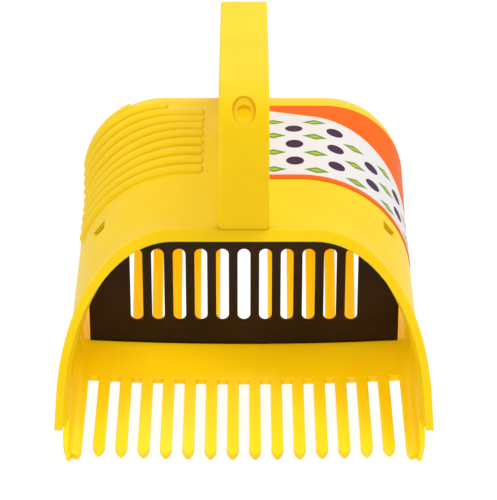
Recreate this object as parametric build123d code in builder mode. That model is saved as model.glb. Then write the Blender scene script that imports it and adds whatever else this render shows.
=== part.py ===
"""Fruit picker: a moulded berry scoop with a comb, a carrying strap and a one-way valve flap.

Everything is drawn in the comb's own frame: X across, Y rearward from the tooth tips, Z up from
the floor of the comb, in millimetres. At the end each piece is tipped forward into the pose in
which the picker stands on a table, on its tooth tips and its belly.
"""
import os
from math import asin, atan2, cos, degrees, hypot, radians, sin, tan

from build123d import *

# Body: a rounded bin whose shoulders tighten towards the rear, parted into hood and tray at the seam
WALL = 2.0
HALF_WIDTH = 67.2
SEAM_Z = 12.0
FRONT_ROOF_Z = 60.0
FRONT_R = 45.0
TAPER_Y = (150.0, 184.0)
REAR_ROOF_Z = 56.5
REAR_R = 33.0
HOOD_FRONT_Y = -60.0
FOOT_Z = -20.0
BELLY_AXIS = (153.75, -22.1)
BELLY_FRONT_Y = 118.0
BELLY_SLOPE = 32.0
REAR_SLOPE = 39.0
BELLY_FLAT = 0.6

# Throat: the square stretch of the bin right behind the sill
THROAT_HALF_X = 66.0
THROAT_Y = (84.0, 128.0)
THROAT_FOOT_Z = -18.0
THROAT_CORNER_R = 20.0

# Mouth: slanted opening with a flared lip
MOUTH_FOOT = (0.0, 11.0)
MOUTH_SLOPE = 37.2
LIP_FLARE = 2.8
LIP_RISE = 1.0
LIP_SPLAY = 2.0
LIP_R = 42.5
LIP_WALL = 3.0
# Lip sections from front to rear: distance behind the mouth and share of the full flare
LIP_STEPS = [(-2.0, 1.0), (1.2, 1.0), (5.0, 0.5), (10.0, 0.14), (15.0, 0.0)]

# Comb and floor
TOOTH_COUNT = 14
TOOTH_PITCH = 8.36
TOOTH_WIDTH = 4.4
TOOTH_TIP_Y = 5.8
TOOTH_ROOT_Y = 59.2
TOOTH_POINT = 7.0
TOOTH_BULGE = (0.7, 0.33)
FLOOR_THICK = 2.4
FLOOR_SAG = 1.8
FLOOR_CORNER_R = 6.0
LUG_INNER_X = 60.7
LUG_CORNER = (1.2, 3.0)
LUG_FRONT_Y = 3.5
LUG_OUTER_Y = 4.5
NIB_X = (64.0, 64.9, 65.9)
NIB_FRONT_Y = 0.3
LUG_TIP_Z = 3.5
LUG_RISE_Y = 14.0
LUG_AHEAD_Y = -5.0

# Debris slots through the belly
SLOT_COUNT = 13
SLOT_PITCH = 8.4
SLOT_WIDTH = 4.0
MIDDLE_SLOT_WIDTH = 5.6
REAR_SLOT_Y = (150.0, 205.0)

# Valve flap and its pivots
PIVOT_Y = 87.4
PIVOT_Z = 45.0
PIN_R = 2.2
PIN_CLEARANCE = 0.08
PIN_ROOT_X = 37.0
PIN_END_X = 49.5
BEARING_X = 45.0
BEARING_THICK = 3.0
BEARING_R = 4.2
FLAP_THICK = 2.0
FLAP_HALF_WIDTH = 61.4
FLAP_TOP_Z = 49.0
FLAP_BOTTOM_Z = -3.0
FLAP_CHAMFER = 1.0
FLAP_NOTCH_X = 44.3
FLAP_NOTCH_Z = 39.5
FLAP_SLOT_COUNT = 11
FLAP_SLOT_PITCH = 8.5
FLAP_SLOT_WIDTH = 5.0
FLAP_SLOT_Z = (8.4, 41.4)
WINDOW_X = 50.0
WINDOW_Y = (95.5, 102.5)
WINDOW_Z = (39.5, 45.5)

# Strap handle
STRAP_WIDTH = 19.2
STRAP_THICK = 5.0
STRAP_ROUTE = [(68.5, 50.0), (68.5, 112.7), (196.5, 99.5), (198.5, 40.0)]
STRAP_BENDS = [20.0, 15.0]
STRAP_FALL = atan2(STRAP_ROUTE[1][1] - STRAP_ROUTE[2][1], STRAP_ROUTE[2][0] - STRAP_ROUTE[1][0])
BEND_TANGENT = tan(radians(45) + STRAP_FALL / 2)
STRAP_EDGE = 0.8
HANG_ANGLE = 50.0
HANG_R = 2.9
RECESS_WIDTH = 9.0
RECESS_LENGTH = 12.4
RECESS_DEPTH = 1.3

# Grip ribs on the left half of the hood
RIB_FIRST_Y = 118.5
RIB_PITCH = 8.06
RIB_SINK = 0.8
RIB_CROWN = [(-3.3, 0.0), (-2.2, 1.6), (-0.9, 2.05), (0.9, 2.05), (2.2, 1.6), (3.3, 0.0)]
RIB_INNER_X = [17.5] * 8 + [33.0, 48.0]
RIB_FOOT_Z = 28.0

# Label on the right half of the hood
LABEL_THICK = 0.3
LABEL_Y = (110.0, 183.0)
LABEL_INNER_X = 9.6
LABEL_FOOT_Z = 20.0


def taper(y):
    """Roof height and shoulder radius at a depth y, between the front and the rear of the taper."""
    share = min(max((y - TAPER_Y[0]) / (TAPER_Y[1] - TAPER_Y[0]), 0), 1)
    roof_z = FRONT_ROOF_Z + share * (REAR_ROOF_Z - FRONT_ROOF_Z)
    shoulder_r = FRONT_R + share * (REAR_R - FRONT_R)
    return roof_z, shoulder_r


def arch(y, grow, roof_z, shoulder_r):
    """Cross-section of the hood at a depth y: an upright arch with two round shoulders."""
    with BuildSketch(Plane.XZ.offset(-y)) as outline:
        with Locations((0, roof_z + grow)):
            size = (2 * (HALF_WIDTH + grow), roof_z + grow - FOOT_Z)
            Rectangle(*size, align=(Align.CENTER, Align.MAX))
        fillet(vertices().group_by(Axis.Y)[-1], shoulder_r + grow)
    return outline.sketch


def pillow(core, grow):
    """A flat core in the middle plane, swollen to the body's width and the rear radius."""
    with BuildPart() as form:
        with BuildSketch(Plane.YZ):
            Polygon(*core, align=None)
        extrude(amount=HALF_WIDTH - REAR_R, both=True)
        offset(amount=REAR_R + grow)
    return form.part


def hood_form(grow):
    """Solid bulk of the hood, its faces moved outwards by grow."""
    rear_y = TAPER_Y[1]
    core_top_z = REAR_ROOF_Z - REAR_R
    core = [(TAPER_Y[0], FOOT_Z), (rear_y, FOOT_Z), (rear_y, core_top_z), (TAPER_Y[0], core_top_z)]
    with BuildPart() as rear_cap:
        add(pillow(core, grow))
        split(bisect_by=Plane.XZ.offset(-rear_y), keep=Keep.BOTTOM)
        split(bisect_by=Plane.XY.offset(FOOT_Z), keep=Keep.TOP)
    with BuildPart() as form:
        loft([arch(y, grow, *taper(y)).face() for y in (HOOD_FRONT_Y, *TAPER_Y)], ruled=True)
        add(rear_cap.part)
    return form.part


def belly_form(grow):
    """Solid bulk of the bin below the roof, its faces moved outwards by grow."""
    rear_y = TAPER_Y[1]
    top_z = REAR_ROOF_Z - REAR_R
    rear_z = BELLY_AXIS[1] + (rear_y - BELLY_AXIS[0]) * tan(radians(REAR_SLOPE))
    front_z = BELLY_AXIS[1] + (BELLY_AXIS[0] - BELLY_FRONT_Y) * tan(radians(BELLY_SLOPE))
    core = [(rear_y, top_z), (rear_y, rear_z), BELLY_AXIS, (BELLY_FRONT_Y, front_z), (BELLY_FRONT_Y, top_z)]
    return pillow(core, grow)


def throat_form(grow):
    """Solid bulk of the throat: a level box with round low corners that runs back into the belly."""
    with BuildPart() as form:
        with BuildSketch(Plane.XZ.offset(grow - THROAT_Y[0])):
            with Locations((0, SEAM_Z)):
                size = (2 * (THROAT_HALF_X + grow), SEAM_Z - THROAT_FOOT_Z + grow)
                Rectangle(*size, align=(Align.CENTER, Align.MAX))
            fillet(vertices().group_by(Axis.Y)[0], THROAT_CORNER_R + grow)
        extrude(amount=THROAT_Y[0] - THROAT_Y[1])
    return form.part


def lip_outline(share, inset):
    """Cross-section of the lip: the hood's arch, widened, splayed and squared by a share of the flare."""
    seam_x = HALF_WIDTH + share * LIP_FLARE - inset
    roof_z = FRONT_ROOF_Z + share * LIP_RISE - inset
    splay = tan(radians(share * LIP_SPLAY))
    foot_x = seam_x + (SEAM_Z - FOOT_Z) * splay
    roof_x = seam_x - (roof_z - SEAM_Z) * splay
    with BuildSketch(Plane.XZ.offset(-HOOD_FRONT_Y)) as outline:
        Polygon((-foot_x, FOOT_Z), (foot_x, FOOT_Z), (roof_x, roof_z), (-roof_x, roof_z), align=None)
        fillet(vertices().group_by(Axis.Y)[-1], FRONT_R + share * (LIP_R - FRONT_R) - inset)
    return outline.sketch


def lip_form(inset):
    """Bulk of the flared lip: squarer and wider at the mouth, it runs out into the hood behind it."""
    rings = []
    for back, share in LIP_STEPS:
        tunnel = extrude(lip_outline(share, inset), amount=HOOD_FRONT_Y - TAPER_Y[1], mode=Mode.PRIVATE)
        rings.append(section(tunnel, section_by=MOUTH_PLANE.offset(-back), mode=Mode.PRIVATE))
    with BuildPart() as form:
        loft([ring.face() for ring in rings], ruled=True)
    return form.part


def rib_plane(y):
    """Plane of a grip rib: upright along the roof, then fanned about the rear axis."""
    if y <= TAPER_Y[1]:
        roof_z, shoulder_r = taper(y)
        return Plane((0, y, roof_z - shoulder_r), x_dir=(1, 0, 0), z_dir=(0, -1, 0))
    lean = (y - TAPER_Y[1]) / REAR_R
    axis = (0, TAPER_Y[1], REAR_ROOF_Z - REAR_R)
    return Plane(axis, x_dir=(1, 0, 0), z_dir=(0, -cos(lean), sin(lean)))


def channel_outline(inset, bottom):
    """Outline of the comb's channel: two walls, round corners and a floor that sags in the middle."""
    half = HALF_WIDTH - inset
    corner = FLOOR_CORNER_R - inset
    with BuildSketch() as outline:
        with BuildLine():
            left = Line((-half, SEAM_Z), (-half, bottom + corner))
            left_corner = JernArc(left @ 1, left % 1, corner, 90)
            floor = ThreePointArc(left_corner @ 1, (0, bottom - FLOOR_SAG), (half - corner, bottom))
            right_corner = JernArc(floor @ 1, (1, 0), corner, 90)
            Polyline(right_corner @ 1, (half, SEAM_Z), left @ 0)
        make_face()
    return outline.sketch


def comb_form():
    """Floor, side walls, teeth and lugs in front of the throat."""
    floor_end_y = THROAT_Y[0] + WALL
    with BuildPart() as form:
        with BuildSketch(Plane.XZ):
            add(channel_outline(0, -FLOOR_THICK))
        extrude(amount=-floor_end_y)
        with BuildSketch(Plane.XZ):
            add(channel_outline(WALL, 0))
        extrude(amount=-floor_end_y, mode=Mode.SUBTRACT)
        with BuildSketch(Plane.XY.offset(-FLOOR_THICK - 2 * FLOOR_SAG)):
            with Locations((0, TOOTH_ROOT_Y)):
                Rectangle(2 * HALF_WIDTH, floor_end_y - TOOTH_ROOT_Y, align=(Align.CENTER, Align.MIN))
            with GridLocations(TOOTH_PITCH, 1, TOOTH_COUNT, 1):
                add(tooth_outline())
            add(lug_outline())
            mirror(about=Plane.YZ)
        extrude(amount=SEAM_Z + FLOOR_THICK + 2 * FLOOR_SAG, mode=Mode.INTERSECT)
        with BuildSketch(Plane.YZ):
            Polygon(
                (LUG_AHEAD_Y, LUG_TIP_Z),
                (0, LUG_TIP_Z),
                (LUG_RISE_Y, SEAM_Z),
                (LUG_AHEAD_Y, SEAM_Z),
                align=None,
            )
        extrude(amount=HALF_WIDTH, both=True, mode=Mode.SUBTRACT)
    return form.part


def tooth_outline():
    """Plan of one tooth: a straight bar with a bullet point."""
    half = TOOTH_WIDTH / 2
    tip = (0, TOOTH_TIP_Y)
    bulge = (TOOTH_BULGE[0] * half, TOOTH_TIP_Y + TOOTH_BULGE[1] * TOOTH_POINT)
    neck = (half, TOOTH_TIP_Y + TOOTH_POINT)
    with BuildSketch() as outline:
        with BuildLine():
            right = ThreePointArc(tip, bulge, neck)
            left = ThreePointArc(tip, (-bulge[0], bulge[1]), (-neck[0], neck[1]))
            Polyline(right @ 1, (half, TOOTH_ROOT_Y), (-half, TOOTH_ROOT_Y), left @ 1)
        make_face()
    return outline.sketch


def lug_outline():
    """Plan of the right lug: a broad tooth under the side wall, with a small nib at its outer edge."""
    with BuildSketch() as outline:
        Polygon(
            (LUG_INNER_X, TOOTH_ROOT_Y),
            (LUG_INNER_X, LUG_FRONT_Y + LUG_CORNER[1]),
            (LUG_INNER_X + LUG_CORNER[0], LUG_FRONT_Y),
            (NIB_X[0], LUG_FRONT_Y),
            (NIB_X[1], NIB_FRONT_Y),
            (NIB_X[2], NIB_FRONT_Y),
            (HALF_WIDTH, LUG_OUTER_Y),
            (HALF_WIDTH, TOOTH_ROOT_Y),
            align=None,
        )
    return outline.sketch


def bearing_form():
    """The two plates that hang from the hood's shoulders and carry the flap's pins."""
    with BuildPart() as form:
        with BuildSketch(Plane.YZ.offset(BEARING_X)):
            with Locations((PIVOT_Y, PIVOT_Z)):
                Circle(BEARING_R)
                Rectangle(2 * BEARING_R, FRONT_ROOF_Z - PIVOT_Z, align=(Align.CENTER, Align.MIN))
        extrude(amount=BEARING_THICK)
        mirror(about=Plane.YZ)
        add(hood_form(-WALL / 2), mode=Mode.INTERSECT)
    return form.part


SEAM_PLANE = Plane.XY.offset(SEAM_Z)
MOUTH_PLANE = Plane(
    origin=(0, *MOUTH_FOOT),
    x_dir=(1, 0, 0),
    z_dir=(0, -sin(radians(MOUTH_SLOPE)), cos(radians(MOUTH_SLOPE))),
)

# Hang hole: square to the outside of the strap's front bend
front_bend = (STRAP_ROUTE[0][0] + STRAP_BENDS[0], STRAP_ROUTE[1][1] - STRAP_BENDS[0] * BEND_TANGENT)
outer_r = STRAP_BENDS[0] + STRAP_THICK / 2
HANG_PLANE = Plane(
    origin=(
        0,
        front_bend[0] - outer_r * cos(radians(HANG_ANGLE)),
        front_bend[1] + outer_r * sin(radians(HANG_ANGLE)),
    ),
    x_dir=(1, 0, 0),
    z_dir=(0, -cos(radians(HANG_ANGLE)), sin(radians(HANG_ANGLE))),
)

# Standing pose: the table touches the tooth tips and, at a small flat, the belly
tip_z = -FLOOR_THICK - FLOOR_SAG
run_y = BELLY_AXIS[0] - TOOTH_TIP_Y
drop_z = tip_z - BELLY_AXIS[1]
TILT = degrees(asin((REAR_R - BELLY_FLAT) / hypot(run_y, drop_z)) + atan2(drop_z, run_y))
GROUND = Plane(
    origin=(0, TOOTH_TIP_Y, tip_z),
    x_dir=(1, 0, 0),
    z_dir=(0, sin(radians(TILT)), cos(radians(TILT))),
)

hood_outside = hood_form(0)
hood_inside = hood_form(-WALL)
lip_outside = lip_form(0)

with BuildPart() as hood:
    add(hood_outside)
    add(lip_outside)
    for number, inner_x in enumerate(RIB_INNER_X):
        rib_y = RIB_FIRST_Y + number * RIB_PITCH
        plane = rib_plane(rib_y)
        shoulder_r = taper(rib_y)[1]
        flat_x = HALF_WIDTH - shoulder_r
        path_r = shoulder_r - RIB_SINK
        foot = degrees(asin((RIB_FOOT_Z - plane.origin.Z) / path_r))
        with BuildLine(plane) as rib:
            start = 90
            if inner_x < flat_x:
                Line((-inner_x, path_r), (-flat_x, path_r))
            else:
                start = 90 + degrees(asin((inner_x - flat_x) / path_r))
            CenterArc((-flat_x, 0), path_r, start, 180 - foot - start)
        path = rib.wires()[0]
        with BuildSketch(Plane(origin=path @ 0, x_dir=plane.z_dir, z_dir=path % 0)):
            Polygon(*RIB_CROWN, align=None)
        sweep(path=path)
    add(hood_inside, mode=Mode.SUBTRACT)
    add(lip_form(LIP_WALL), mode=Mode.SUBTRACT)
    split(bisect_by=MOUTH_PLANE, keep=Keep.BOTTOM)
    split(bisect_by=SEAM_PLANE, keep=Keep.TOP)
    add(bearing_form())
    with Locations((0, PIVOT_Y, PIVOT_Z)):
        Cylinder(PIN_R + PIN_CLEARANCE, 2 * PIN_END_X, rotation=(0, 90, 0), mode=Mode.SUBTRACT)
    window_size = (HALF_WIDTH - WINDOW_X, WINDOW_Y[1] - WINDOW_Y[0], WINDOW_Z[1] - WINDOW_Z[0])
    for side, grip in [(-1, Align.MAX), (1, Align.MIN)]:
        with Locations((side * WINDOW_X, WINDOW_Y[0], WINDOW_Z[0])):
            Box(*window_size, align=(grip, Align.MIN, Align.MIN), mode=Mode.SUBTRACT)

with BuildPart() as tray:
    add(belly_form(0))
    add(throat_form(0))
    add(belly_form(-WALL), mode=Mode.SUBTRACT)
    add(throat_form(-WALL), mode=Mode.SUBTRACT)
    split(bisect_by=SEAM_PLANE, keep=Keep.BOTTOM)
    with BuildSketch(Plane.XZ.offset(-THROAT_Y[0])):
        add(channel_outline(WALL, 0))
    extrude(amount=WALL, both=True, mode=Mode.SUBTRACT)
    add(comb_form())
    slot_length = REAR_SLOT_Y[1] - REAR_SLOT_Y[0]
    with BuildSketch(Plane.XY.offset(SEAM_Z)):
        with Locations((0, sum(REAR_SLOT_Y) / 2)):
            Rectangle(MIDDLE_SLOT_WIDTH, slot_length)
            with GridLocations(SLOT_PITCH, 1, SLOT_COUNT, 1):
                Rectangle(SLOT_WIDTH, slot_length)
    extrude(amount=BELLY_AXIS[1] - SEAM_Z - REAR_R - WALL, mode=Mode.SUBTRACT)
    split(bisect_by=GROUND, keep=Keep.TOP)

with BuildPart() as valve_flap:
    with BuildSketch(Plane.XZ.offset(FLAP_THICK / 2 - PIVOT_Y)):
        arc_at = (HALF_WIDTH - FRONT_R, FRONT_ROOF_Z - FRONT_R)
        arc_r = FLAP_HALF_WIDTH - arc_at[0]
        with BuildLine():
            rise = degrees(asin((FLAP_NOTCH_Z - arc_at[1]) / arc_r))
            shoulder = CenterArc(arc_at, arc_r, 0, rise)
            Polyline(
                shoulder @ 1,
                (FLAP_NOTCH_X, FLAP_NOTCH_Z),
                (FLAP_NOTCH_X, FLAP_TOP_Z),
                (0, FLAP_TOP_Z),
            )
            Polyline(
                shoulder @ 0,
                (FLAP_HALF_WIDTH, FLAP_BOTTOM_Z + FLAP_CHAMFER),
                (FLAP_HALF_WIDTH - FLAP_CHAMFER, FLAP_BOTTOM_Z),
                (0, FLAP_BOTTOM_Z),
            )
            mirror(about=Plane.YZ)
        make_face()
        with Locations((0, sum(FLAP_SLOT_Z) / 2)):
            with GridLocations(FLAP_SLOT_PITCH, 1, FLAP_SLOT_COUNT, 1):
                slot_height = FLAP_SLOT_Z[1] - FLAP_SLOT_Z[0]
                SlotOverall(slot_height, FLAP_SLOT_WIDTH, rotation=90, mode=Mode.SUBTRACT)
    extrude(amount=-FLAP_THICK)
    pin_length = PIN_END_X - PIN_ROOT_X
    for side in (-1, 1):
        with Locations((side * (PIN_ROOT_X + pin_length / 2), PIVOT_Y, PIVOT_Z)):
            Cylinder(PIN_R, pin_length, rotation=(0, 90, 0))

with BuildPart() as handle:
    with BuildSketch(Plane.YZ):
        with BuildLine() as route:
            FilletPolyline(*STRAP_ROUTE, radius=STRAP_BENDS)
        trace(route.line, STRAP_THICK)
    extrude(amount=STRAP_WIDTH / 2, both=True)
    long_edges = handle.faces().filter_by(Axis.X).edges()
    chamfer(long_edges, STRAP_EDGE)
    add(hood_outside, mode=Mode.SUBTRACT)
    add(lip_outside, mode=Mode.SUBTRACT)
    with BuildSketch(HANG_PLANE):
        Ellipse(RECESS_WIDTH / 2, RECESS_LENGTH / 2)
    extrude(amount=-RECESS_DEPTH, both=True, mode=Mode.SUBTRACT)
    with BuildSketch(HANG_PLANE):
        Circle(HANG_R)
    extrude(amount=2 * STRAP_THICK, both=True, mode=Mode.SUBTRACT)

with BuildPart() as label:
    add(hood_form(LABEL_THICK))
    add(hood_outside, mode=Mode.SUBTRACT)
    with BuildSketch(Plane.XY.offset(LABEL_FOOT_Z)):
        with Locations((LABEL_INNER_X, LABEL_Y[0])):
            Rectangle(HALF_WIDTH, LABEL_Y[1] - LABEL_Y[0], align=Align.MIN)
    extrude(amount=FRONT_ROOF_Z, mode=Mode.INTERSECT)

# Stand the picker on the table, with the origin under the middle of its box
pieces = [hood, tray, valve_flap, handle, label]
box = Compound(children=[Rot(X=TILT) * piece.part for piece in pieces]).bounding_box()
STAND = Pos(0, -box.center().Y, -box.min.Z) * Rot(X=TILT)
print("tilt", round(TILT, 2), "size", box.size)
print("pivot", STAND * Pos(0, PIVOT_Y, PIVOT_Z))
print("hang hole", Plane(STAND * HANG_PLANE.location))
for piece in pieces:
    piece.part.move(STAND)

hood.part.label = "hood"
tray.part.label = "tray"
valve_flap.part.label = "valve_flap"
handle.part.label = "handle"
label.part.label = "label"

os.makedirs("parts", exist_ok=True)
export_step(hood.part, "parts/hood.step")
export_step(tray.part, "parts/tray.step")
export_step(valve_flap.part, "parts/valve_flap.step")
export_step(handle.part, "parts/handle.step")
export_step(label.part, "parts/label.step")
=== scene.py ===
# %% [markdown]
# # A berry scoop of yellow moulded plastic
#
# The scoop has a comb in front, a bin behind it, a strap to hold it by and a brown flap that lets
# berries in but not out. Its solids come ready made from the part's own source, in metres, and
# stand on the floor at z = 0. This lesson dresses them: it adds what is too fine for a solid,
# mixes the plastics and the printed label, and sets up a small photo studio.

# %% Load the solids
import bpy
from math import acos, asin, cos, pi, radians, sin
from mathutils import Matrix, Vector


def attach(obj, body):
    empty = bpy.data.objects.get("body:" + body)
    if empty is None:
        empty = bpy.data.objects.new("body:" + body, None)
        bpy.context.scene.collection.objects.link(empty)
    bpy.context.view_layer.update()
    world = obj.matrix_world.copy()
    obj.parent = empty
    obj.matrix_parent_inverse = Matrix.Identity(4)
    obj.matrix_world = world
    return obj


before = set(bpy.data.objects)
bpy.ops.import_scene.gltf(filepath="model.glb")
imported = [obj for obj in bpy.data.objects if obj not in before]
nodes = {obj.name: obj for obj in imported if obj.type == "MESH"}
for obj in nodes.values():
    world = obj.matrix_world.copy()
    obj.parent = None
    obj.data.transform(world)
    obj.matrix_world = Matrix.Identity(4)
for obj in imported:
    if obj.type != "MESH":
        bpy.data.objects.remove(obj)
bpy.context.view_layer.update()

# %% [markdown]
# ## The comb's own frame
#
# The scoop was drawn with the floor of its comb level, but on a table it tips forward onto its
# tooth tips. Patterns are easier to place in the drawing's frame: x across, y back from the tooth
# tips and z up from the comb's floor, in millimetres. A Mapping node can turn the object's own
# coordinates into that frame. It goes into a node group, so that every finish can use it.

# %% Frame numbers and small helpers for node trees
MM = 0.001
TIP_FORWARD = radians(19.4553)
COMB_SHIFT = Vector((0.0, -101.4705, 2.0289))


def comb_point(x, y, z):
    """A point given in the comb's frame in millimetres, as metres in the standing frame."""
    level = y * cos(TIP_FORWARD) - z * sin(TIP_FORWARD)
    height = y * sin(TIP_FORWARD) + z * cos(TIP_FORWARD)
    return (Vector((x, level, height)) + COMB_SHIFT) * MM


def place(tree, kind, at, **settings):
    """Adds a node at a column and row of the tree's sheet and sets its properties."""
    node = tree.nodes.new(kind)
    node.location = (at[0] * 200, -at[1] * 180)
    for name, value in settings.items():
        setattr(node, name, value)
    return node


def feed(tree, socket, value):
    """Links a socket to an output, or sets it to a plain value."""
    if isinstance(value, bpy.types.NodeSocket):
        tree.links.new(value, socket)
    else:
        socket.default_value = value


def maths(tree, at, operation, *values):
    """A Math node on the given values."""
    node = place(tree, "ShaderNodeMath", at, operation=operation)
    for socket, value in zip(node.inputs, values):
        feed(tree, socket, value)
    return node.outputs[0]


def blend_colours(tree, at, share, first, second, how="MIX"):
    """A Mix node between two colours."""
    node = place(tree, "ShaderNodeMix", at, data_type="RGBA", blend_type=how)
    feed(tree, node.inputs[0], share)
    feed(tree, node.inputs[6], first)
    feed(tree, node.inputs[7], second)
    return node.outputs[2]


def soft_step(tree, at, value, low, high):
    """0 below low, 1 above high and a smooth ramp between, or the reverse where low is the larger."""
    node = place(tree, "ShaderNodeMapRange", at, interpolation_type="SMOOTHSTEP")
    feed(tree, node.inputs["Value"], value)
    node.inputs["From Min"].default_value = low
    node.inputs["From Max"].default_value = high
    return node.outputs["Result"]


def new_group(name, inputs, outputs):
    """An empty shader group: sockets (name, kind, default) going in and (name, kind) coming out."""
    tree = bpy.data.node_groups.new(name, "ShaderNodeTree")
    for label, kind, default in inputs:
        socket = tree.interface.new_socket(label, in_out="INPUT", socket_type=kind)
        socket.default_value = default
    for label, kind in outputs:
        tree.interface.new_socket(label, in_out="OUTPUT", socket_type=kind)
    start = place(tree, "NodeGroupInput", (-5, 0))
    end = place(tree, "NodeGroupOutput", (8, 0))
    return tree, start.outputs, end.inputs


# %% The comb-frame group
comb_frame, _, ends = new_group("comb_frame", [], [("Place", "NodeSocketVector")])
where = place(comb_frame, "ShaderNodeTexCoord", (-4, 0))
turn = place(comb_frame, "ShaderNodeMapping", (-2, 0))
back = Vector((0, COMB_SHIFT.y * cos(TIP_FORWARD) + COMB_SHIFT.z * sin(TIP_FORWARD),
               COMB_SHIFT.z * cos(TIP_FORWARD) - COMB_SHIFT.y * sin(TIP_FORWARD)))
turn.inputs["Location"].default_value = -back
turn.inputs["Rotation"].default_value = (-TIP_FORWARD, 0, 0)
turn.inputs["Scale"].default_value = (1 / MM, 1 / MM, 1 / MM)
feed(comb_frame, turn.inputs["Vector"], where.outputs["Object"])
feed(comb_frame, ends["Place"], turn.outputs["Vector"])
print("comb frame group shifts by", [round(v, 2) for v in -back])

# %% [markdown]
# ## Moulded skin
#
# Injection-moulded plastic copies the steel it was pressed against: a very fine spark-eroded grain,
# faint clouds where the melt cooled unevenly, and hair scratches from use. Image textures could
# carry that, but noise in millimetres keeps its scale on every piece. The group puts out a cloud
# value, a grain height and a scratch mask, and each plastic mixes them in its own way.

# %% The moulded-skin group
moulded_skin, starts, ends = new_group(
    "moulded_skin",
    [("Cloud size", "NodeSocketFloat", 30.0), ("Grain size", "NodeSocketFloat", 0.5)],
    [("Cloud", "NodeSocketFloat"), ("Grain", "NodeSocketFloat"), ("Scratch", "NodeSocketFloat")],
)
spot = place(moulded_skin, "ShaderNodeGroup", (-4, 2), node_tree=comb_frame).outputs["Place"]


def noise_of(tree, at, place_socket, fineness, detail, stretch=(1, 1, 1)):
    """Noise with about that many features to the millimetre, drawn out along an axis by a small stretch."""
    scaled = place(tree, "ShaderNodeVectorMath", (at[0] - 1, at[1]), operation="MULTIPLY")
    feed(tree, scaled.inputs[0], place_socket)
    scaled.inputs[1].default_value = stretch
    noise = place(tree, "ShaderNodeTexNoise", at)
    feed(tree, noise.inputs["Vector"], scaled.outputs[0])
    feed(tree, noise.inputs["Scale"], fineness)
    noise.inputs["Detail"].default_value = detail
    return noise.outputs["Fac"]


SCRATCH_FINENESS, SCRATCH_STRETCH, SCRATCH_RANGE = 0.9, (0.06, 1.0, 1.0), (0.66, 0.72)
USED_FINENESS, USED_RANGE = 0.05, (0.5, 0.68)
cloud_fineness = maths(moulded_skin, (-3, 0), "DIVIDE", 1.0, starts["Cloud size"])
grain_fineness = maths(moulded_skin, (-3, 1), "DIVIDE", 1.0, starts["Grain size"])
cloud = noise_of(moulded_skin, (-1, 0), spot, cloud_fineness, 3.0)
grain = noise_of(moulded_skin, (-1, 1), spot, grain_fineness, 2.0)
streak = noise_of(moulded_skin, (-1, 2), spot, SCRATCH_FINENESS, 2.0, SCRATCH_STRETCH)
patch = noise_of(moulded_skin, (-1, 3), spot, USED_FINENESS, 2.0)
hairline = soft_step(moulded_skin, (1, 2), streak, *SCRATCH_RANGE)
used_area = soft_step(moulded_skin, (1, 3), patch, *USED_RANGE)
feed(moulded_skin, ends["Cloud"], cloud)
feed(moulded_skin, ends["Grain"], grain)
feed(moulded_skin, ends["Scratch"], maths(moulded_skin, (3, 2), "MULTIPLY", hairline, used_area))
print("moulded skin group has", len(moulded_skin.nodes), "nodes")

# %% [markdown]
# ## Rounded edges and painted shade in tight hollows
#
# A mould has no razor-sharp edges, and use rubs them paler. The edges could be bevelled in the
# mesh, but the solids stay as they are, so a Bevel node rounds the shading alone. Where its normal
# leaves the true normal there is an edge, and that difference is also a good mask for wear. In a
# tight hollow less light arrives and it bounces from plastic to plastic, so the shade there is
# painted into the colour: an Ambient Occlusion node finds those places by asking how open the
# surface is within a few millimetres.

# %% The edge group
EDGE_RADIUS, EDGE_RANGE = 0.6 * MM, (0.01, 0.2)
HOLLOW_REACH, HOLLOW_RANGE = 4 * MM, (0.35, 0.95)
edges_and_hollow_shade, starts, ends = new_group(
    "edges_and_hollow_shade",
    [("Radius", "NodeSocketFloat", EDGE_RADIUS)],
    [("Normal", "NodeSocketVector"), ("Edge", "NodeSocketFloat"), ("Open", "NodeSocketFloat")],
)
rounded = place(edges_and_hollow_shade, "ShaderNodeBevel", (-2, 0), samples=6)
feed(edges_and_hollow_shade, rounded.inputs["Radius"], starts["Radius"])
true_normal = place(edges_and_hollow_shade, "ShaderNodeNewGeometry", (-2, 2)).outputs["Normal"]
agreement = place(edges_and_hollow_shade, "ShaderNodeVectorMath", (0, 1), operation="DOT_PRODUCT")
feed(edges_and_hollow_shade, agreement.inputs[0], rounded.outputs["Normal"])
feed(edges_and_hollow_shade, agreement.inputs[1], true_normal)
lost = maths(edges_and_hollow_shade, (2, 1), "SUBTRACT", 1.0, agreement.outputs["Value"])
feed(edges_and_hollow_shade, ends["Normal"], rounded.outputs["Normal"])
feed(edges_and_hollow_shade, ends["Edge"], soft_step(edges_and_hollow_shade, (4, 1), lost, *EDGE_RANGE))
# Painted shade: this Ambient Occlusion mask marks tight hollows so that the colour can be darkened there.
hollow = place(edges_and_hollow_shade, "ShaderNodeAmbientOcclusion", (-2, 3), samples=8)
hollow.inputs["Distance"].default_value = HOLLOW_REACH
feed(edges_and_hollow_shade, ends["Open"], soft_step(edges_and_hollow_shade, (4, 3), hollow.outputs["AO"], *HOLLOW_RANGE))
print("edge group has", len(edges_and_hollow_shade.nodes), "nodes")

# %% [markdown]
# ## Yellow plastic
#
# Hood, tray and strap are one bright yellow, warm where the wall is thin and light shines through.
# A flat colour would look like a toy rendering, so two close yellows follow the clouds, rubbed
# edges are paler, hollows get a painted shade, scratches are a little rougher, and some light
# scatters under the surface.

# %% Helper for a plastic and the yellow one
# Painted shade: hollows found by the Ambient Occlusion mask are multiplied by this tint.
HOLLOW_SHADE_TINT = (0.9, 0.74, 0.2, 1)
CLOUD_RANGE, CLOUD_ROUGHNESS = (0.3, 0.7), 0.10
WEAR_SHARE, SCRATCH_ROUGHNESS = 0.35, 0.18
GRAIN_DEPTH = 1 * MM


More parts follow.
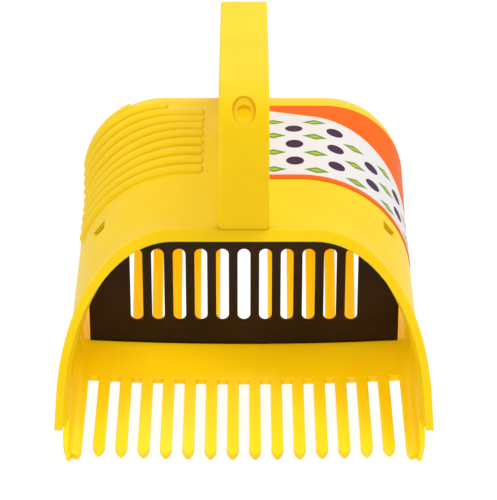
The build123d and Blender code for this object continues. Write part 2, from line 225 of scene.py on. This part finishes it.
def moulded_plastic(name, deep, pale, rubbed, roughness, grain_height, cloud_size):
    """A plastic with two colours in clouds, paler edges, painted shade in hollows, fine grain and
    scratches.
    """
    material = bpy.data.materials.new(name)
    material.use_nodes = True
    tree = material.node_tree
    shader = tree.nodes["Principled BSDF"]
    skin = place(tree, "ShaderNodeGroup", (-6, 0), node_tree=moulded_skin)
    skin.inputs["Cloud size"].default_value = cloud_size
    edges = place(tree, "ShaderNodeGroup", (-6, 2), node_tree=edges_and_hollow_shade)
    cloudy = soft_step(tree, (-5, 0), skin.outputs["Cloud"], *CLOUD_RANGE)
    body_colour = blend_colours(tree, (-4, 0), cloudy, deep, pale)
    wear = maths(tree, (-4, 2), "MULTIPLY", edges.outputs["Edge"], WEAR_SHARE)
    worn_colour = blend_colours(tree, (-2, 0), wear, body_colour, rubbed)
    # Painted shade: the colour is darkened by the tint where the surface is not open.
    hollow_shaded_colour = blend_colours(tree, (-2, 1), 1.0, worn_colour, HOLLOW_SHADE_TINT, how="MULTIPLY")
    colour = blend_colours(tree, (-1, 0), edges.outputs["Open"], hollow_shaded_colour, worn_colour)
    feed(tree, shader.inputs["Base Color"], colour)
    scuffed = maths(tree, (-4, 1), "MULTIPLY_ADD", skin.outputs["Scratch"], SCRATCH_ROUGHNESS, roughness)
    uneven = maths(tree, (-3, 1), "MULTIPLY_ADD", skin.outputs["Cloud"], CLOUD_ROUGHNESS, scuffed)
    feed(tree, shader.inputs["Roughness"], uneven)
    bump = place(tree, "ShaderNodeBump", (-2, 2))
    bump.inputs["Distance"].default_value = GRAIN_DEPTH
    bump.inputs["Strength"].default_value = grain_height
    feed(tree, bump.inputs["Height"], skin.outputs["Grain"])
    feed(tree, bump.inputs["Normal"], edges.outputs["Normal"])
    feed(tree, shader.inputs["Normal"], bump.outputs["Normal"])
    return material, shader


DEEP_YELLOW, PALE_YELLOW = (0.88, 0.58, 0.0012, 1), (0.9, 0.62, 0.004, 1)
RUBBED_YELLOW = (0.95, 0.77, 0.13, 1)
yellow, yellow_shader = moulded_plastic(
    "yellow_shell", DEEP_YELLOW, PALE_YELLOW, RUBBED_YELLOW,
    roughness=0.34, grain_height=0.05, cloud_size=35.0,
)
yellow_shader.inputs["Specular IOR Level"].default_value = 0.12
yellow_shader.inputs["Subsurface Weight"].default_value = 0.35
yellow_shader.inputs["Subsurface Radius"].default_value = (1.0, 0.7, 0.05)
yellow_shader.inputs["Subsurface Scale"].default_value = 4 * MM
for name in ("hood", "tray", "handle"):
    nodes[name].data.materials.clear()
    nodes[name].data.materials.append(yellow)
print("yellow plastic on hood, tray and handle")

# %% [markdown]
# ## Round grip ribs
#
# Ten finger ribs run over the left half of the hood. In the solid they are strips with square ends,
# but on the real scoop they are round beads that sink into the roof at both ends. Each could be
# modelled by hand, yet all follow one rule: along the roof, then round the shoulder. So the paths
# are worked out from the hood's own sizes, and a Geometry Nodes tree sweeps one half-oval along them.
# The beads are thinner than the depth to which light scatters in the shell. It would leave through
# their undersides and tint them green, so their copy of the yellow plastic does not scatter.

# %% Paths of the ribs
HALF_WIDTH = 67.2
TAPER_Y, TAPER_ROOF, TAPER_R = (150.0, 184.0), (60.0, 56.5), (45.0, 33.0)
RIB_FIRST_Y, RIB_PITCH, RIB_FOOT_Z, RIB_SINK = 118.5, 8.06, 28.0, 0.8
RIB_INNER_X = [17.5] * 8 + [33.0, 48.0]
RIB_OVERRUN, RIB_ROUNDING, RIB_LEAST, RIB_STEPS = 1.0, 1.2, 0.1, 48


def rib_line(y, inner_x):
    """Points of a rib's path, the ways out of the hood there and how far the rib is drawn in."""
    share = min(max((y - TAPER_Y[0]) / (TAPER_Y[1] - TAPER_Y[0]), 0), 1)
    roof = TAPER_ROOF[0] + share * (TAPER_ROOF[1] - TAPER_ROOF[0])
    radius = TAPER_R[0] + share * (TAPER_R[1] - TAPER_R[0])
    lean = max(y - TAPER_Y[1], 0) / TAPER_R[1]
    middle = Vector((0, min(y, TAPER_Y[1]), roof - radius))
    upward = Vector((0, sin(lean), cos(lean)))
    flat, bend = HALF_WIDTH - radius, radius - RIB_SINK
    past = max(inner_x - flat, 0)
    start = min(inner_x, flat) + bend * asin(past / bend) - RIB_OVERRUN
    length = flat + bend * acos((RIB_FOOT_Z - middle.z) / bend) + RIB_OVERRUN - start
    for step in range(RIB_STEPS + 1):
        gone = length * (1 - cos(pi * step / RIB_STEPS)) / 2
        turn = max(start + gone - flat, 0) / bend
        outward = upward * cos(turn) - Vector((sin(turn), 0, 0))
        spot = middle - Vector((min(start + gone, flat), 0, 0)) + outward * bend
        missing = max(1 - min(gone, length - gone) / RIB_ROUNDING, 0)
        drawn_in = max(1 - missing ** 2, RIB_LEAST ** 2) ** 0.5
        yield comb_point(*spot), comb_point(*(spot + outward)) - comb_point(*spot), drawn_in


rib_paths = bpy.data.meshes.new("rib_paths")
rows = [list(rib_line(RIB_FIRST_Y + number * RIB_PITCH, x)) for number, x in enumerate(RIB_INNER_X)]
dots = [dot for row in rows for dot in row]
runs = [(first, first + 1) for first in range(len(dots) - 1) if (first + 1) % (RIB_STEPS + 1)]
rib_paths.from_pydata([dot[0] for dot in dots], runs, [])
rib_paths.attributes.new("outward", "FLOAT_VECTOR", "POINT").data.foreach_set(
    "vector", [value for dot in dots for value in dot[1].normalized()]
)
rib_paths.attributes.new("drawn_in", "FLOAT", "POINT").data.foreach_set("value", [dot[2] for dot in dots])
path_object = bpy.data.objects.new("rib_paths", rib_paths)
bpy.context.collection.objects.link(path_object)
print("rib paths:", len(rows), "with", len(dots), "points")


# %% The rib tree and its mesh
def wire(tree, *steps):
    """Links pairs of an output and an input."""
    for output, socket in steps:
        tree.links.new(output, socket)


rib_tree = bpy.data.node_groups.new("round_ribs", "GeometryNodeTree")
for label, kind, way in (
    ("Paths", "NodeSocketGeometry", "INPUT"), ("Half width", "NodeSocketFloat", "INPUT"),
    ("Height", "NodeSocketFloat", "INPUT"), ("Plastic", "NodeSocketMaterial", "INPUT"),
    ("Ribs", "NodeSocketGeometry", "OUTPUT"),
):
    rib_tree.interface.new_socket(label, in_out=way, socket_type=kind)
given = place(rib_tree, "NodeGroupInput", (-6, 0)).outputs
made = place(rib_tree, "NodeGroupOutput", (5, 0)).inputs
circle = place(rib_tree, "GeometryNodeCurvePrimitiveCircle", (-5, 3))
circle.inputs["Resolution"].default_value = 24
circle.inputs["Radius"].default_value = 1.0
here = place(rib_tree, "ShaderNodeSeparateXYZ", (-5, 4))
wire(rib_tree, (place(rib_tree, "GeometryNodeInputPosition", (-6, 4)).outputs[0], here.inputs[0]))
upper_half = maths(rib_tree, (-4, 4), "MAXIMUM", here.outputs["X"], 0.0)
rise = maths(rib_tree, (-3, 4), "MULTIPLY", upper_half, given["Height"])
spread = maths(rib_tree, (-3, 5), "MULTIPLY", here.outputs["Y"], given["Half width"])
oval_spot = place(rib_tree, "ShaderNodeCombineXYZ", (-2, 4))
half_oval = place(rib_tree, "GeometryNodeSetPosition", (-1, 3))
outward = place(rib_tree, "GeometryNodeInputNamedAttribute", (-5, 1), data_type="FLOAT_VECTOR")
outward.inputs["Name"].default_value = "outward"
drawn_in = place(rib_tree, "GeometryNodeInputNamedAttribute", (-3, 2), data_type="FLOAT")
drawn_in.inputs["Name"].default_value = "drawn_in"
to_curve = place(rib_tree, "GeometryNodeMeshToCurve", (-4, 0))
upright = place(rib_tree, "GeometryNodeSetCurveNormal", (-2, 0), mode="FREE")
sweep = place(rib_tree, "GeometryNodeCurveToMesh", (0, 0))
sweep.inputs["Fill Caps"].default_value = True
smooth = place(rib_tree, "GeometryNodeSetShadeSmooth", (1, 0))
whole = place(rib_tree, "GeometryNodeRealizeInstances", (2, 0))
coloured = place(rib_tree, "GeometryNodeSetMaterial", (3, 0))
wire(
    rib_tree,
    (rise, oval_spot.inputs["X"]),
    (spread, oval_spot.inputs["Y"]),
    (circle.outputs["Curve"], half_oval.inputs["Geometry"]),
    (oval_spot.outputs["Vector"], half_oval.inputs["Position"]),
    (given["Paths"], to_curve.inputs["Mesh"]),
    (to_curve.outputs["Curve"], upright.inputs["Curve"]),
    (outward.outputs["Attribute"], upright.inputs["Normal"]),
    (upright.outputs["Curve"], sweep.inputs["Curve"]),
    (half_oval.outputs["Geometry"], sweep.inputs["Profile Curve"]),
    (drawn_in.outputs["Attribute"], sweep.inputs["Scale"]),
    (sweep.outputs["Mesh"], smooth.inputs["Geometry"]),
    (smooth.outputs["Geometry"], whole.inputs["Geometry"]),
    (whole.outputs["Geometry"], coloured.inputs["Geometry"]),
    (given["Plastic"], coloured.inputs["Material"]),
    (coloured.outputs["Geometry"], made["Ribs"]),
)
print("rib tree has", len(rib_tree.nodes), "nodes")

# %% Sweep the ribs and fix them to the hood
sweeper = path_object.modifiers.new("round_ribs", "NODES")
sweeper.node_group = rib_tree
bead_yellow = yellow.copy()
bead_yellow.name = "yellow_beads"
bead_yellow.node_tree.nodes["Principled BSDF"].inputs["Subsurface Weight"].default_value = 0.0
rib_sizes = {"Half width": 3.45 * MM, "Height": 2.3 * MM, "Plastic": bead_yellow}
for socket in rib_tree.interface.items_tree:
    if socket.name in rib_sizes:
        sweeper[socket.identifier] = rib_sizes[socket.name]
swept = path_object.evaluated_get(bpy.context.evaluated_depsgraph_get())
ribs = bpy.data.objects.new("grip_ribs", bpy.data.meshes.new_from_object(swept))
bpy.context.collection.objects.link(ribs)
bpy.data.objects.remove(path_object)
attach(ribs, "body")
print("grip ribs:", len(ribs.data.polygons), "faces")

# %% [markdown]
# ## Brown flap
#
# The flap is moulded from a dark brown plastic, a little rougher than the yellow one. It uses the
# same skin and edge groups with its own colours, so the two plastics look related, as mouldings from
# one press do.

# %% The brown plastic
DEEP_BROWN, PALE_BROWN = (0.017, 0.0058, 0.0003, 1), (0.027, 0.0098, 0.0006, 1)
RUBBED_BROWN = (0.08, 0.037, 0.005, 1)
brown, brown_shader = moulded_plastic(
    "brown_flap", DEEP_BROWN, PALE_BROWN, RUBBED_BROWN,
    roughness=0.42, grain_height=0.04, cloud_size=18.0,
)
brown_shader.inputs["Specular IOR Level"].default_value = 0.2
nodes["valve_flap"].data.materials.clear()
nodes["valve_flap"].data.materials.append(brown)
print("brown plastic on the flap")

# %% [markdown]
# ## Printed label
#
# A printed film wraps the right half of the roof. Its pattern should follow the surface round the
# shoulder, so the group below unrolls the hood: one value runs across the roof and on round the
# shoulder, the other from front to back, both in millimetres of film. The print is a plain one:
# orange bands along both edges and rows of plum dots and green lozenges on white.

# %% The unrolled film
film_sheet, _, ends = new_group(
    "film_sheet", [], [("Across", "NodeSocketFloat"), ("Back", "NodeSocketFloat")]
)


def along_taper(at, depth, ends_of_taper):
    """A value that changes evenly from the start to the end of the hood's taper."""
    node = place(film_sheet, "ShaderNodeMapRange", at)
    feed(film_sheet, node.inputs["Value"], depth)
    for socket, value in zip(("From Min", "From Max", "To Min", "To Max"), TAPER_Y + ends_of_taper):
        node.inputs[socket].default_value = value
    return node.outputs["Result"]


spot = place(film_sheet, "ShaderNodeGroup", (-4, 0), node_tree=comb_frame).outputs["Place"]
split = place(film_sheet, "ShaderNodeSeparateXYZ", (-3, 0))
feed(film_sheet, split.inputs[0], spot)
radius = along_taper((-2, 3), split.outputs["Y"], TAPER_R)
roof = along_taper((-2, 4), split.outputs["Y"], TAPER_ROOF)
axis_x = maths(film_sheet, (-1, 3), "SUBTRACT", HALF_WIDTH, radius)
axis_z = maths(film_sheet, (-1, 4), "SUBTRACT", roof, radius)
beyond = maths(film_sheet, (-1, 0), "SUBTRACT", split.outputs["X"], axis_x)
past = maths(film_sheet, (0, 0), "MAXIMUM", beyond, 0.0)
level = maths(film_sheet, (0, 1), "MINIMUM", split.outputs["X"], axis_x)
above = maths(film_sheet, (0, 2), "SUBTRACT", split.outputs["Z"], axis_z)
angle = maths(film_sheet, (1, 0), "ARCTAN2", past, above)
feed(film_sheet, ends["Across"], maths(film_sheet, (2, 0), "MULTIPLY_ADD", angle, radius, level))
feed(film_sheet, ends["Back"], split.outputs["Y"])
print("film sheet group has", len(film_sheet.nodes), "nodes")

# %% Helpers for the label's print
PITCH_X, PITCH_Y, PATTERN_X, PATTERN_Y = 17.0, 15.0, 12.0, 118.0
FRONT_BAND_Y, REAR_BAND_Y, BAND_SLANT = 113.4, 180.2, 0.366
DOT_R, DOT_BLUR, DOT_ROOM = 3.6, 0.12, 5.0
LOZENGE, LOZENGE_HEART, LOZENGE_BLUR, LOZENGE_ROOM = (5.2, 2.6), (2.6, 1.1), 0.05, 3.6
BAND_BLUR = 0.1
label_film = bpy.data.materials.new("label_film")
label_film.use_nodes = True
tree = label_film.node_tree
label_shader = tree.nodes["Principled BSDF"]
sheet = place(tree, "ShaderNodeGroup", (-14, 0), node_tree=film_sheet)
across, backward = sheet.outputs["Across"], sheet.outputs["Back"]


def repeat(at, value, pitch, start):
    """Distance from the middle of the nearest cell of a repeat."""
    moved = maths(tree, at, "SUBTRACT", value, start)
    cell = maths(tree, (at[0] + 1, at[1]), "FLOORED_MODULO", moved, pitch)
    return maths(tree, (at[0] + 2, at[1]), "SUBTRACT", cell, pitch / 2)


def dot_mask(at, x, y, radius):
    """1 inside a round spot."""
    y_squared = maths(tree, (at[0] - 2, at[1]), "MULTIPLY", y, y)
    squared = maths(tree, (at[0] - 1, at[1]), "MULTIPLY_ADD", x, x, y_squared)
    reach = maths(tree, at, "SQRT", squared)
    return soft_step(tree, (at[0] + 1, at[1]), reach, radius + DOT_BLUR, radius - DOT_BLUR)


def lozenge_mask(at, x, y, half_x, half_y):
    """1 inside a lozenge."""
    parts = []
    for row, value, half in ((at[1], x, half_x), (at[1] + 0.5, y, half_y)):
        size = maths(tree, (at[0] - 3, row), "ABSOLUTE", value)
        parts.append(maths(tree, (at[0] - 2, row), "DIVIDE", size, half))
    total = maths(tree, at, "ADD", *parts)
    return soft_step(tree, (at[0] + 1, at[1]), total, 1 + LOZENGE_BLUR, 1 - LOZENGE_BLUR)


def whole_cells(at, x, y, room):
    """1 in the cells whose middle is at least room from both bands, front to back, so no motif is cut."""
    middle_x = maths(tree, at, "SUBTRACT", across, x)
    middle_y = maths(tree, (at[0], at[1] + 0.5), "SUBTRACT", backward, y)
    leaning = maths(tree, (at[0] + 1, at[1]), "MULTIPLY_ADD", middle_x, BAND_SLANT, middle_y)
    past_front = maths(tree, (at[0] + 1, at[1] + 0.5), "GREATER_THAN", middle_y, FRONT_BAND_Y + room)
    before_rear = maths(tree, (at[0] + 2, at[1]), "LESS_THAN", leaning, REAR_BAND_Y - room)
    return maths(tree, (at[0] + 3, at[1]), "MULTIPLY", past_front, before_rear)


print("print helpers ready, pattern starts at", (PATTERN_X, PATTERN_Y))

# %% The label's print
dot_x = repeat((-12, 0), across, PITCH_X, PATTERN_X)
dot_y = repeat((-12, 1), backward, PITCH_Y, PATTERN_Y)
mid_x = repeat((-12, 2), across, PITCH_X, PATTERN_X + PITCH_X / 2)
mid_y = repeat((-12, 3), backward, PITCH_Y, PATTERN_Y + PITCH_Y / 2)
plum_dots = dot_mask((-7, 0), dot_x, dot_y, DOT_R)
green_lozenges = lozenge_mask((-6, 2), mid_x, mid_y, *LOZENGE)
pale_lozenges = lozenge_mask((-6, 4), mid_x, mid_y, *LOZENGE_HEART)
slanted = maths(tree, (-8, 8), "MULTIPLY_ADD", across, BAND_SLANT, backward)
front_band = soft_step(tree, (-7, 6), backward, FRONT_BAND_Y + BAND_BLUR, FRONT_BAND_Y - BAND_BLUR)
rear_band = soft_step(tree, (-7, 8), slanted, REAR_BAND_Y - BAND_BLUR, REAR_BAND_Y + BAND_BLUR)
dot_cells = whole_cells((-8, 12), dot_x, dot_y, DOT_ROOM)
lozenge_cells = whole_cells((-8, 14), mid_x, mid_y, LOZENGE_ROOM)
print("label print: cells of", PITCH_X, "by", PITCH_Y, "mm")

# %% The label's film
skin = place(tree, "ShaderNodeGroup", (-6, 11), node_tree=moulded_skin)
WHITE, DULL_WHITE, ORANGE = (0.76, 0.735, 0.73, 1), (0.73, 0.70, 0.69, 1), (0.84, 0.125, 0.001, 1)
PLUM, GREEN, LIME = (0.055, 0.022, 0.05, 1), (0.15, 0.29, 0.025, 1), (0.42, 0.50, 0.03, 1)
FILM_ROUGHNESS, FILM_UNEVENNESS = 0.38, 0.12
ink = blend_colours(tree, (-3, 9), skin.outputs["Cloud"], DULL_WHITE, WHITE)
for step, (motif, cells, colour) in enumerate((
    (plum_dots, dot_cells, PLUM),
    (green_lozenges, lozenge_cells, GREEN),
    (pale_lozenges, lozenge_cells, LIME),
)):
    printed = maths(tree, (-4, step), "MULTIPLY", motif, cells)
    ink = blend_colours(tree, (step - 3, step), printed, ink, colour)
bands = maths(tree, (-3, 6), "MAXIMUM", front_band, rear_band)
feed(tree, label_shader.inputs["Base Color"], blend_colours(tree, (0, 3), bands, ink, ORANGE))
uneven = maths(tree, (-2, 8), "MULTIPLY_ADD", skin.outputs["Cloud"], FILM_UNEVENNESS, FILM_ROUGHNESS)
feed(tree, label_shader.inputs["Roughness"], uneven)
label_bump = place(tree, "ShaderNodeBump", (-2, 11))
label_bump.inputs["Distance"].default_value = GRAIN_DEPTH
label_bump.inputs["Strength"].default_value = 0.03
feed(tree, label_bump.inputs["Height"], skin.outputs["Grain"])
feed(tree, label_shader.inputs["Normal"], label_bump.outputs["Normal"])
label_shader.inputs["Specular IOR Level"].default_value = 0.06
nodes["label"].data.materials.clear()
nodes["label"].data.materials.append(label_film)
print("printed film on the label")

# %% [markdown]
# ## Studio
#
# The scoop was photographed on white with soft light from above and the right. A broad area light
# does that, a weaker one fills the left, and one beside the camera shines into the mouth. In a real
# studio black card would keep that last lamp off the strap, and here light linking does: it lights
# the tray alone. So do three very weak lamps in the bin and the mouth, for the light that thin walls
# let through. The floor is a plain pale light table: its own soft glow keeps the shadows between
# the teeth from turning brown, and it belongs to the studio and not to the scoop.

# %% Floor and sky
FLOOR_SIZE = 14
bpy.ops.mesh.primitive_plane_add(size=FLOOR_SIZE)
floor = bpy.context.object
floor.name = "studio_floor"
pale = bpy.data.materials.new("studio_pale")
pale.use_nodes = True
table_shader = pale.node_tree.nodes["Principled BSDF"]
table_shader.inputs["Base Color"].default_value = (0.15, 0.15, 0.15, 1)
table_shader.inputs["Roughness"].default_value = 0.9
table_shader.inputs["Emission Color"].default_value = (1, 1, 1, 1)
table_shader.inputs["Emission Strength"].default_value = 0.88
floor.data.materials.append(pale)

world = bpy.data.worlds.new("studio_world")
bpy.context.scene.world = world
world.use_nodes = True
sky = world.node_tree.nodes["Background"]
sky.inputs["Color"].default_value = (1, 1, 1, 1)
sky.inputs["Strength"].default_value = 0.74
print("floor of", FLOOR_SIZE, "m and a white sky")


# %% Lamps
def softbox(name, at, aim, size, watts):
    """A square area light at a point, turned towards another."""
    lamp = bpy.data.lights.new(name, "AREA")
    lamp.energy = watts
    lamp.size = size
    box = bpy.data.objects.new(name, lamp)
    box.location = at
    box.rotation_euler = (Vector(aim) - Vector(at)).to_track_quat("-Z", "Y").to_euler()
    bpy.context.collection.objects.link(box)
    return box


AIM, GLOW_SIZE = (0, 0, 0.07), 0.02
softbox("key_from_the_right", (0.4, 0.0, 1.3), AIM, 0.9, 9)
softbox("fill_from_the_left", (-0.9, -0.7, 0.6), AIM, 0.8, 2)
front = softbox("front_into_the_mouth", (0, -1.05, 0.3), AIM, 0.4, 4.2)
tray_alone = bpy.data.collections.new("tray_alone")
tray_alone.objects.link(nodes["tray"])
front.light_linking.receiver_collection = tray_alone
for name, at, watts in (
    ("bin", (0, 145, 20), 0.11),
    ("left_mouth", (-30, 74, 36), 0.03),
    ("right_mouth", (36, 70, 40), 0.01),
):
    glow_data = bpy.data.lights.new("glow_in_the_" + name, "POINT")
    glow_data.energy = watts
    glow_data.shadow_soft_size = GLOW_SIZE
    glow = bpy.data.objects.new("glow_in_the_" + name, glow_data)
    glow.location = comb_point(*at)
    glow.visible_camera = False
    glow.light_linking.receiver_collection = tray_alone
    bpy.context.collection.objects.link(glow)
print("lamps:", sorted(lamp.name for lamp in bpy.data.lights))

# %% Camera
CAMERA_SPOT, LOOK_DOWN = comb_point(0, -805, 535), 29
camera_data = bpy.data.cameras.new("photo_camera")
camera_data.lens = 187.2
camera_data.sensor_width = 36
camera_data.shift_x = 0.009
camera = bpy.data.objects.new("photo_camera", camera_data)
camera.location = CAMERA_SPOT
camera.rotation_euler = (radians(90 - LOOK_DOWN) + TIP_FORWARD, 0, 0)
bpy.context.collection.objects.link(camera)
bpy.context.scene.camera = camera
bpy.context.scene.view_settings.view_transform = "Standard"
print("camera at", [round(v, 3) for v in CAMERA_SPOT])
